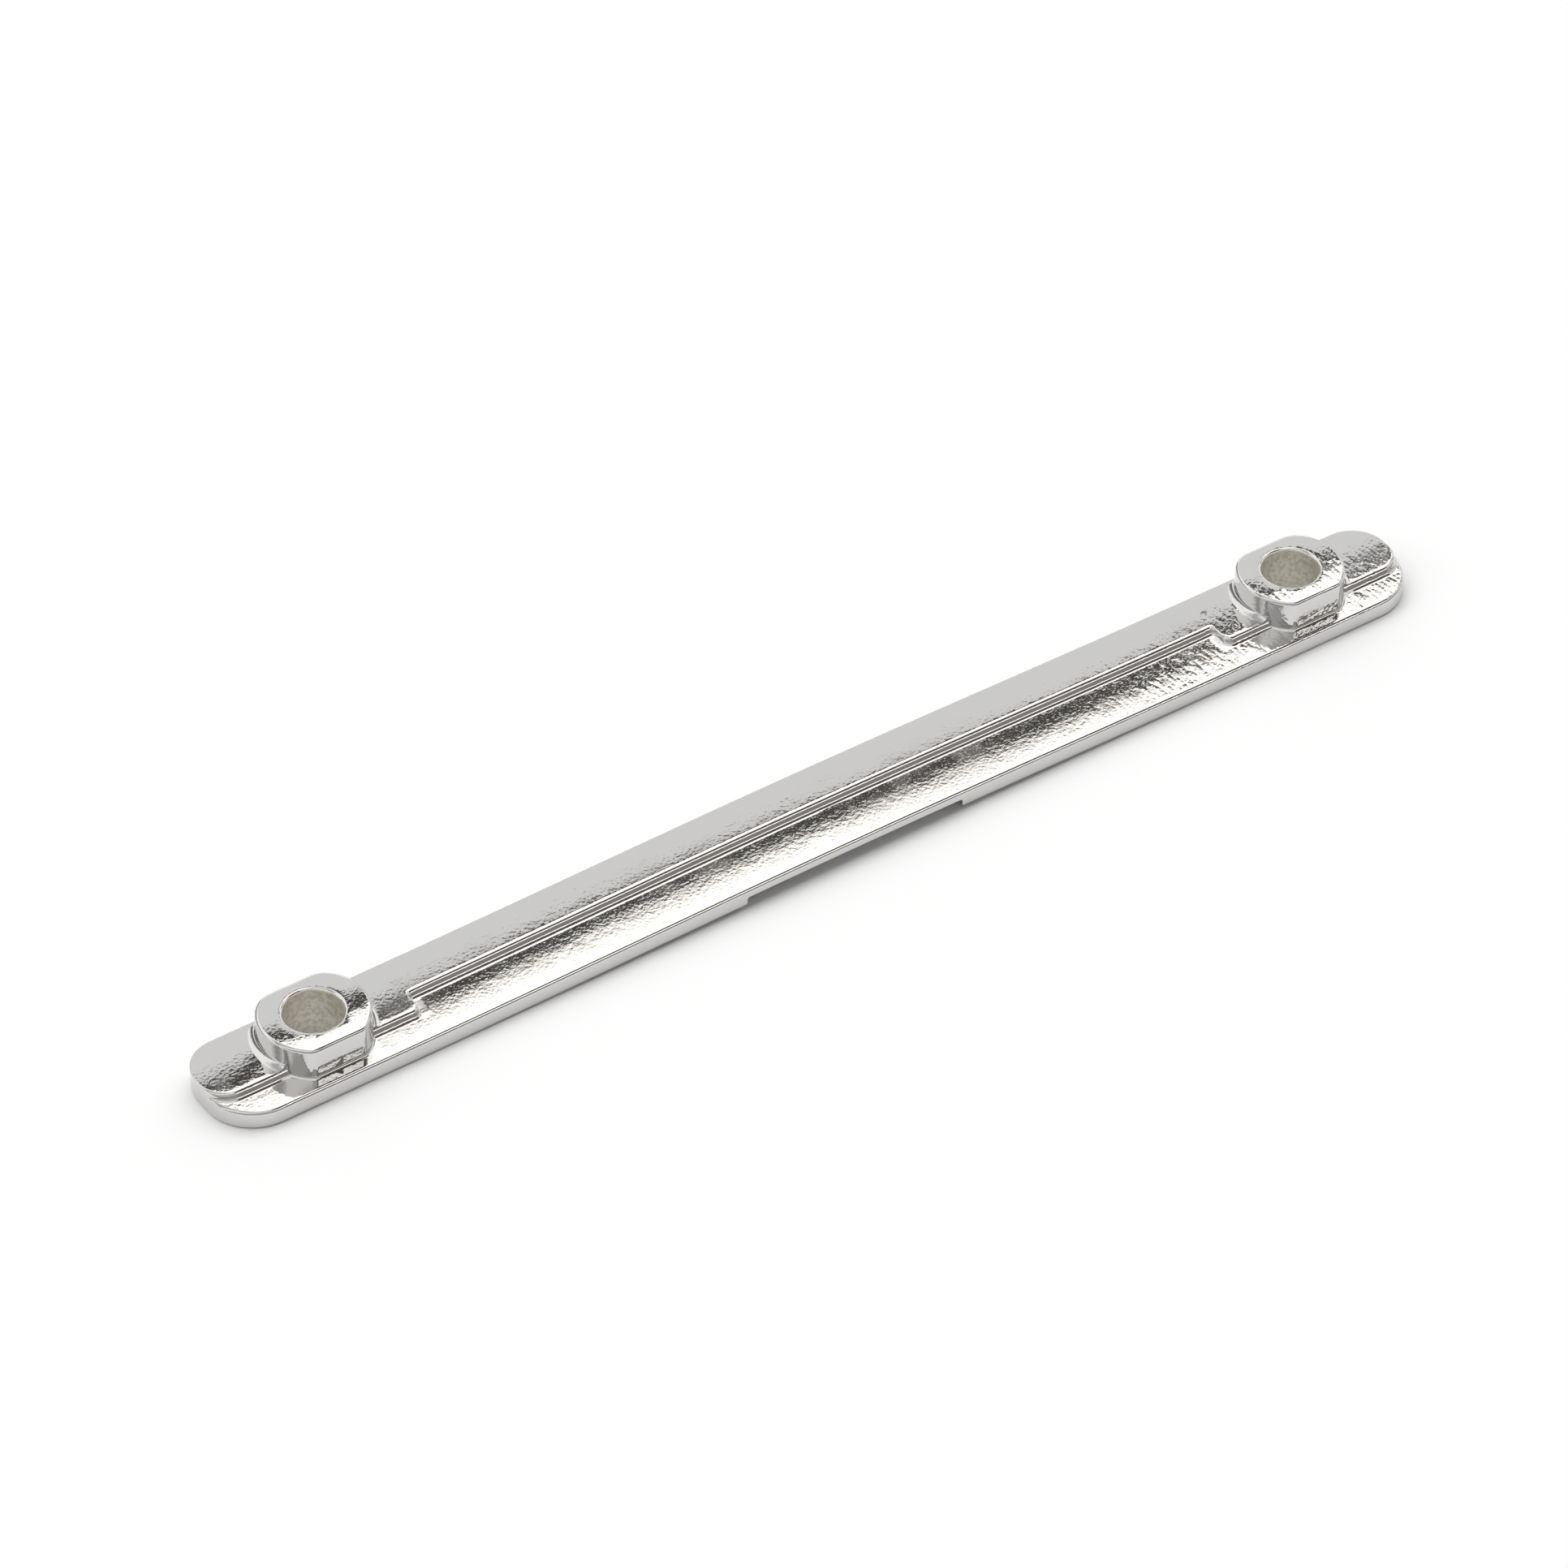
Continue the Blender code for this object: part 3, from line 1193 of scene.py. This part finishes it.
@dataclass(frozen=True)
class Band:
    """A stretch of the studio around the bar, up to an angle over it from back to front."""

    until_degrees: float
    colour: tuple[float, float, float]
    strength: float


@dataclass(frozen=True)
class Studio:
    """A pale table, with long soft lights over it that the plate mirrors as bands."""

    table_size: float = 6.0
    table_colour: tuple[float, float, float, float] = (0.84, 0.84, 0.84, 1.0)
    mirrored: tuple[Band, ...] = (
        Band(34.0, (1.0, 1.0, 1.0), 1.15),
        Band(47.9, (1.0, 1.0, 1.0), 0.90),
        Band(51.0, (1.0, 0.93, 0.86), 0.07),
        Band(52.3, (1.0, 0.985, 0.94), 0.95),
        Band(82.0, (1.0, 0.985, 0.94), 1.7),
        Band(124.0, (1.0, 0.89, 0.80), 0.12),
        Band(139.0, (1.0, 0.99, 0.97), 1.6),
        Band(180.0, (1.0, 0.96, 0.93), 0.28),
    )
    around: tuple[Band, ...] = (
        Band(24.0, (1.0, 0.96, 0.94), 0.22),
        Band(62.0, (1.0, 1.0, 1.0), 1.2),
        Band(84.0, (1.0, 1.0, 0.99), 0.55),
        Band(112.0, (1.0, 0.99, 0.98), 1.05),
        Band(150.0, (1.0, 1.0, 1.0), 0.6),
        Band(180.0, (1.0, 1.0, 1.0), 0.35),
    )
    spread: tuple[Band, ...] = (
        Band(36.0, (1.0, 1.0, 1.0), 0.6),
        Band(60.0, (1.0, 1.0, 1.0), 1.5),
        Band(100.0, (1.0, 1.0, 1.0), 2.5),
        Band(180.0, (1.0, 1.0, 1.0), 0.3),
    )
    cards_middle: float = 0.416
    cards_half: float = 0.15
    cards_fade: float = 0.13
    around_blur_degrees: float = 13.0
    mirrored_blur_degrees: float = 0.7
    spread_blur_degrees: float = 10.0
    seen_behind: tuple[float, float, float, float] = (1.0, 1.0, 1.0, 1.0)

    def table(self) -> bpy.types.Object:
        """Lay the table under the bar.

        Returns:
            The table.
        """
        shape = bmesh.new()
        bmesh.ops.create_grid(shape, x_segments=1, y_segments=1, size=self.table_size / 2)
        table = solid_from(shape, "table")
        finish = bpy.data.materials.new("table_paper")
        finish.use_nodes = True
        kit = NodeKit(finish.node_tree)
        shader = finish.node_tree.nodes["Principled BSDF"].inputs
        kit.feed(self.table_colour, shader["Base Color"])
        kit.feed(1.0, shader["Roughness"])
        kit.feed(0.0, shader["Specular IOR Level"])
        table.data.materials.append(finish)
        return table

    def light(self) -> None:
        """Light the set by bands around the bar, each one parallel to it.

        The plate mirrors one set of bands where it faces the view that it was made for, and
        softer ones elsewhere. Matt surfaces are lit by a third set.
        """
        world = bpy.data.worlds.new("studio")
        bpy.context.scene.world = world
        world.use_nodes = True
        kit = NodeKit(world.node_tree)
        world.node_tree.nodes.clear()
        towards = kit.split(kit.node("ShaderNodeTexCoord").outputs["Generated"]).outputs
        turn = kit.math("DIVIDE", kit.math("ARCTAN2", towards["Z"], towards["Y"]), math.pi)
        path = kit.node("ShaderNodeLightPath").outputs
        aside = kit.math("ABSOLUTE", kit.math("SUBTRACT", towards["X"], self.cards_middle))
        beyond = kit.fade(aside, self.cards_half, self.cards_half + self.cards_fade)
        cards = self._glow(kit, turn, self.mirrored, self.mirrored_blur_degrees)
        room = self._glow(kit, turn, self.around, self.around_blur_degrees)
        mirrored = self._choose(kit, beyond, cards, room)
        spread = self._glow(kit, turn, self.spread, self.spread_blur_degrees)
        backdrop = kit.node("ShaderNodeBackground")
        kit.feed(self.seen_behind, backdrop.inputs["Color"])
        lit = self._choose(kit, path["Is Diffuse Ray"], mirrored, spread)
        seen = self._choose(kit, path["Is Camera Ray"], lit, backdrop.outputs[0])
        kit.feed(seen, kit.node("ShaderNodeOutputWorld").inputs["Surface"])

    @staticmethod
    def _choose(
        kit: NodeKit,
        share: bpy.types.NodeSocket,
        first: bpy.types.NodeSocket,
        second: bpy.types.NodeSocket,
    ) -> bpy.types.NodeSocket:
        """Mix two shaders.

        Args:
            kit: The world's node kit.
            share: How much of the second shader there is.
            first: A shader.
            second: A shader.

        Returns:
            The mixed shader.
        """
        made = kit.node("ShaderNodeMixShader")
        for slot, source in enumerate((share, first, second)):
            kit.feed(source, made.inputs[slot])
        return made.outputs[0]

    @staticmethod
    def _glow(
        kit: NodeKit, turn: bpy.types.NodeSocket, bands: Sequence[Band], blur_degrees: float
    ) -> bpy.types.NodeSocket:
        """Make the glow of a set of bands.

        Args:
            kit: The world's node kit.
            turn: The angle over the bar, from 0 at the back to 1 at the front.
            bands: The bands from back to front.
            blur_degrees: How wide the change between two bands is.

        Returns:
            The glow's shader.
        """
        half = blur_degrees / 2
        stops = [(0.0, bands[0])]
        for band, after in zip(bands, bands[1:]):
            stops += [(band.until_degrees - half, band), (band.until_degrees + half, after)]
        stops.append((180.0, bands[-1]))
        ramp = kit.node("ShaderNodeValToRGB")
        elements = ramp.color_ramp.elements
        while len(elements) < len(stops):
            elements.new(1.0)
        brightest = max(band.strength for band in bands)
        for element, (degrees, band) in zip(elements, stops):
            element.position = degrees / 180.0
            share = band.strength / brightest
            element.color = (*(channel * share for channel in band.colour), 1.0)
        kit.feed(turn, ramp.inputs["Fac"])
        glow = kit.node("ShaderNodeBackground")
        kit.feed(brightest, glow.inputs["Strength"])
        kit.feed(ramp.outputs["Color"], glow.inputs["Color"])
        return glow.outputs[0]


@dataclass(frozen=True)
class Viewpoint:
    """Where the bar is looked at from."""

    azimuth_degrees: float = -34.04
    elevation_degrees: float = 42.0
    distance: float = 606.9 * MM
    aim: tuple[float, float, float] = (0.32 * MM, 7.0 * MM, 0.0)
    lens: float = 153.3
    near_share: float = 0.05

    def camera(self) -> bpy.types.Object:
        """Put up the camera and make it the scene's.

        Returns:
            The camera.
        """
        azimuth = math.radians(self.azimuth_degrees)
        elevation = math.radians(self.elevation_degrees)
        back = Vector((
            math.sin(azimuth) * math.cos(elevation),
            -math.cos(azimuth) * math.cos(elevation),
            math.sin(elevation),
        ))
        data = bpy.data.cameras.new("view")
        data.lens = self.lens
        data.clip_start = self.distance * self.near_share
        camera = bpy.data.objects.new("view", data)
        bpy.context.scene.collection.objects.link(camera)
        camera.location = Vector(self.aim) + back * self.distance
        camera.rotation_euler = (-back).to_track_quat("-Z", "Y").to_euler()
        bpy.context.scene.camera = camera
        return camera


def main() -> None:
    """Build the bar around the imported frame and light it."""
    logging.basicConfig(level=logging.INFO, format="%(name)s: %(message)s")
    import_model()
    low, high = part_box(CAD_NODE)
    bpy.context.scene.view_settings.view_transform = "Standard"
    camera = Viewpoint().camera()
    LOG.info("camera at %s", tuple(round(value, 4) for value in camera.location))
    studio = Studio()
    table = studio.table()
    studio.light()
    LOG.info("stage: %s", table.name)
    bar = FixingBar(BarEnvelope(low, high))
    casting = bar.cast()
    bar.dress(casting)
    LOG.info("%s: %d faces", casting.name, len(casting.data.polygons))


if __name__ == "__main__":
    main()
